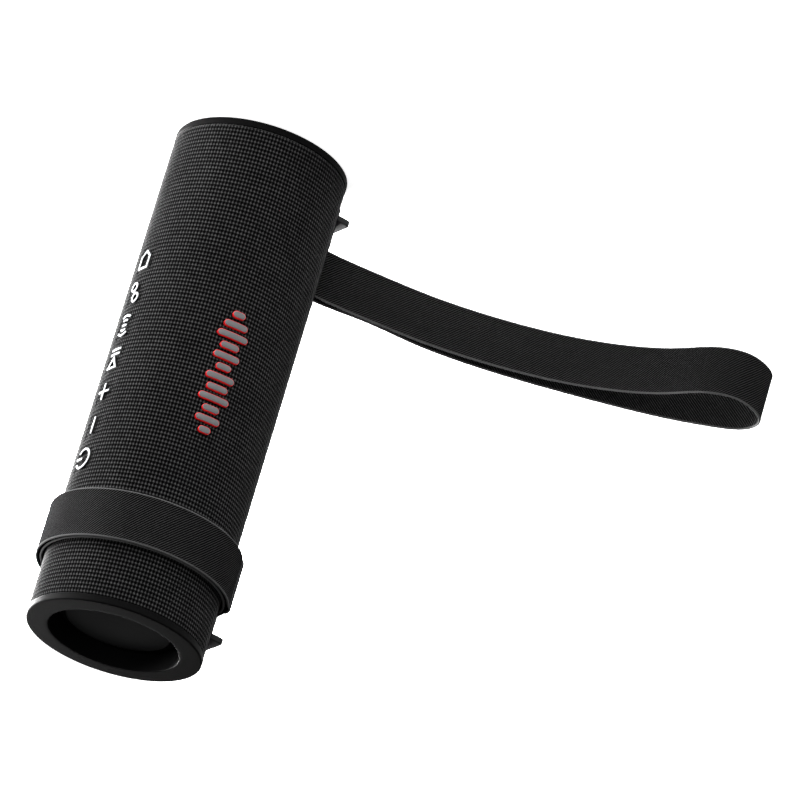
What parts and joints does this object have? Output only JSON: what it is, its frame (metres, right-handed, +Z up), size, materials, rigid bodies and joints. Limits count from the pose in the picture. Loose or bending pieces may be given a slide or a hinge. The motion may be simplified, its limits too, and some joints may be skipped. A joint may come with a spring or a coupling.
{
  "type": "portable speaker",
  "caption": "Fabric-covered tube speaker with raised keys, open end rings, two flat feet and two webbing strap loops.",
  "frame": {"origin": "centre of the end face that the speaker stands on", "axes": "+Z up the tube's axis, keys towards +X, feet, port and strap bars towards -X, badge and drivers towards -Y"},
  "size_m": [0.2328, 0.144, 0.211],
  "materials": {
    "fabric": "charcoal plain weave of coarse round threads",
    "ring_plastic": "satin",
    "radiator_plate": "smooth satin",
    "surround_rubber": "matt",
    "seal_rubber": "matt",
    "inner_plastic": "fine spark texture",
    "grille_steel": "matt powder coat",
    "key_plastic": "smooth satin light grey",
    "badge_red": "bright red sides",
    "badge_grey": "satin grey",
    "rail_plastic": "fine spark texture",
    "foot_rubber": "matt",
    "bar_steel": "dark coated",
    "webbing": "fine diagonal ribs",
    "screw_steel": "zinc",
    "socket_steel": "nickel plated",
    "circuit_board": "solder mask",
    "component_plastic": "moulded",
    "cell_wrap": "shrink wrap",
    "basket_steel": "matt paint",
    "magnet_steel": "zinc plated",
    "coil_copper": "enamelled copper",
    "cone_paper": "coated paper",
    "spider_cloth": "resin-treated cloth",
    "dome_cloth": "coated silk"
  },
  "bodies": {
    "speaker": {"fabric_sleeve": "fabric", "upper_end_ring": "ring_plastic", "lower_end_ring": "ring_plastic", "upper_radiator_surround": "surround_rubber", "lower_radiator_surround": "surround_rubber", "woofer_surround": "surround_rubber", "upper_ring_seal": "seal_rubber", "lower_ring_seal": "seal_rubber", "front_shell": "inner_plastic", "rear_shell": "inner_plastic", "upper_radiator_frame": "inner_plastic", "lower_radiator_frame": "inner_plastic", "battery_cradle": "inner_plastic", "tweeter_faceplate": "inner_plastic", "grille": "grille_steel", "badge_base": "badge_red", "badge_faces": "badge_grey", "foot_rail": "rail_plastic", "upper_foot": "foot_rubber", "lower_foot": "foot_rubber", "port_cover_tether": "foot_rubber", "upper_strap_bar": "bar_steel", "lower_strap_bar": "bar_steel", "wrap_strap": "webbing", "ring_screws": "screw_steel", "radiator_screws": "screw_steel", "housing_screws": "screw_steel", "driver_screws": "screw_steel", "board_screws": "screw_steel", "usb_socket": "socket_steel", "usb_board": "circuit_board", "main_board": "circuit_board", "key_board": "circuit_board", "board_components": "component_plastic", "key_switches": "component_plastic", "battery_cells": "cell_wrap", "woofer_basket": "basket_steel", "woofer_yoke": "magnet_steel", "woofer_magnet": "magnet_steel", "woofer_pole_plate": "magnet_steel", "tweeter_magnet": "magnet_steel", "woofer_spider": "spider_cloth"},
    "preset_key": {"preset_key": "key_plastic"},
    "link_key": {"link_key": "key_plastic"},
    "pairing_key": {"pairing_key": "key_plastic"},
    "play_key": {"play_key": "key_plastic"},
    "plus_key": {"plus_key": "key_plastic"},
    "minus_key": {"minus_key": "key_plastic"},
    "power_key": {"power_key": "key_plastic"},
    "upper_radiator": {"upper_radiator_plate": "radiator_plate"},
    "lower_radiator": {"lower_radiator_plate": "radiator_plate"},
    "woofer_coil": {"woofer_cone": "cone_paper", "woofer_dust_cap": "cone_paper", "woofer_voice_coil": "coil_copper"},
    "tweeter": {"tweeter_dome": "dome_cloth"},
    "port_flap": {"port_cover": "foot_rubber"},
    "carry_loop": {"carry_strap": "webbing"}
  },
  "joints": [
    {"name": "preset_press", "type": "slide", "parent": "speaker", "child": "preset_key", "axis": [-1, 0, 0], "range_m": [0, 0.0005], "stiffness_N_per_m": 1200},
    {"name": "link_press", "type": "slide", "parent": "speaker", "child": "link_key", "axis": [-1, 0, 0], "range_m": [0, 0.0005], "stiffness_N_per_m": 1200},
    {"name": "pairing_press", "type": "slide", "parent": "speaker", "child": "pairing_key", "axis": [-1, 0, 0], "range_m": [0, 0.0005], "stiffness_N_per_m": 1200},
    {"name": "play_press", "type": "slide", "parent": "speaker", "child": "play_key", "axis": [-1, 0, 0], "range_m": [0, 0.0005], "stiffness_N_per_m": 1200},
    {"name": "plus_press", "type": "slide", "parent": "speaker", "child": "plus_key", "axis": [-1, 0, 0], "range_m": [0, 0.0005], "stiffness_N_per_m": 1200},
    {"name": "minus_press", "type": "slide", "parent": "speaker", "child": "minus_key", "axis": [-1, 0, 0], "range_m": [0, 0.0005], "stiffness_N_per_m": 1200},
    {"name": "power_press", "type": "slide", "parent": "speaker", "child": "power_key", "axis": [-1, 0, 0], "range_m": [0, 0.0005], "stiffness_N_per_m": 1200},
    {"name": "upper_radiator_slide", "type": "slide", "parent": "speaker", "child": "upper_radiator", "axis": [0, 0, 1], "range_m": [-0.0015, 0.0015], "stiffness_N_per_m": 1500, "deforming": ["upper_radiator_surround"]},
    {"name": "lower_radiator_slide", "type": "slide", "parent": "speaker", "child": "lower_radiator", "axis": [0, 0, 1], "range_m": [-0.0015, 0.0015], "stiffness_N_per_m": 1500, "deforming": ["lower_radiator_surround"]},
    {"name": "woofer_slide", "type": "slide", "parent": "speaker", "child": "woofer_coil", "axis": [0, -1, 0], "range_m": [-0.001, 0.0025], "stiffness_N_per_m": 1200, "deforming": ["woofer_surround", "woofer_spider"]},
    {"name": "tweeter_slide", "type": "slide", "parent": "speaker", "child": "tweeter", "axis": [0, -1, 0], "range_m": [-0.0002, 0.0002], "stiffness_N_per_m": 2000},
    {"name": "port_hinge", "type": "hinge", "parent": "speaker", "child": "port_flap", "pos_m": [-0.0354, 0, 0.0953], "axis": [0, -1, 0], "range_deg": [0, 110], "stiffness_Nm_per_rad": 0.002},
    {"name": "loop_swing", "type": "hinge", "parent": "speaker", "child": "carry_loop", "pos_m": [-0.03367, -0.00703, 0.036], "axis": [0, 0, 1], "range_deg": [-45, 45]}
  ]
}
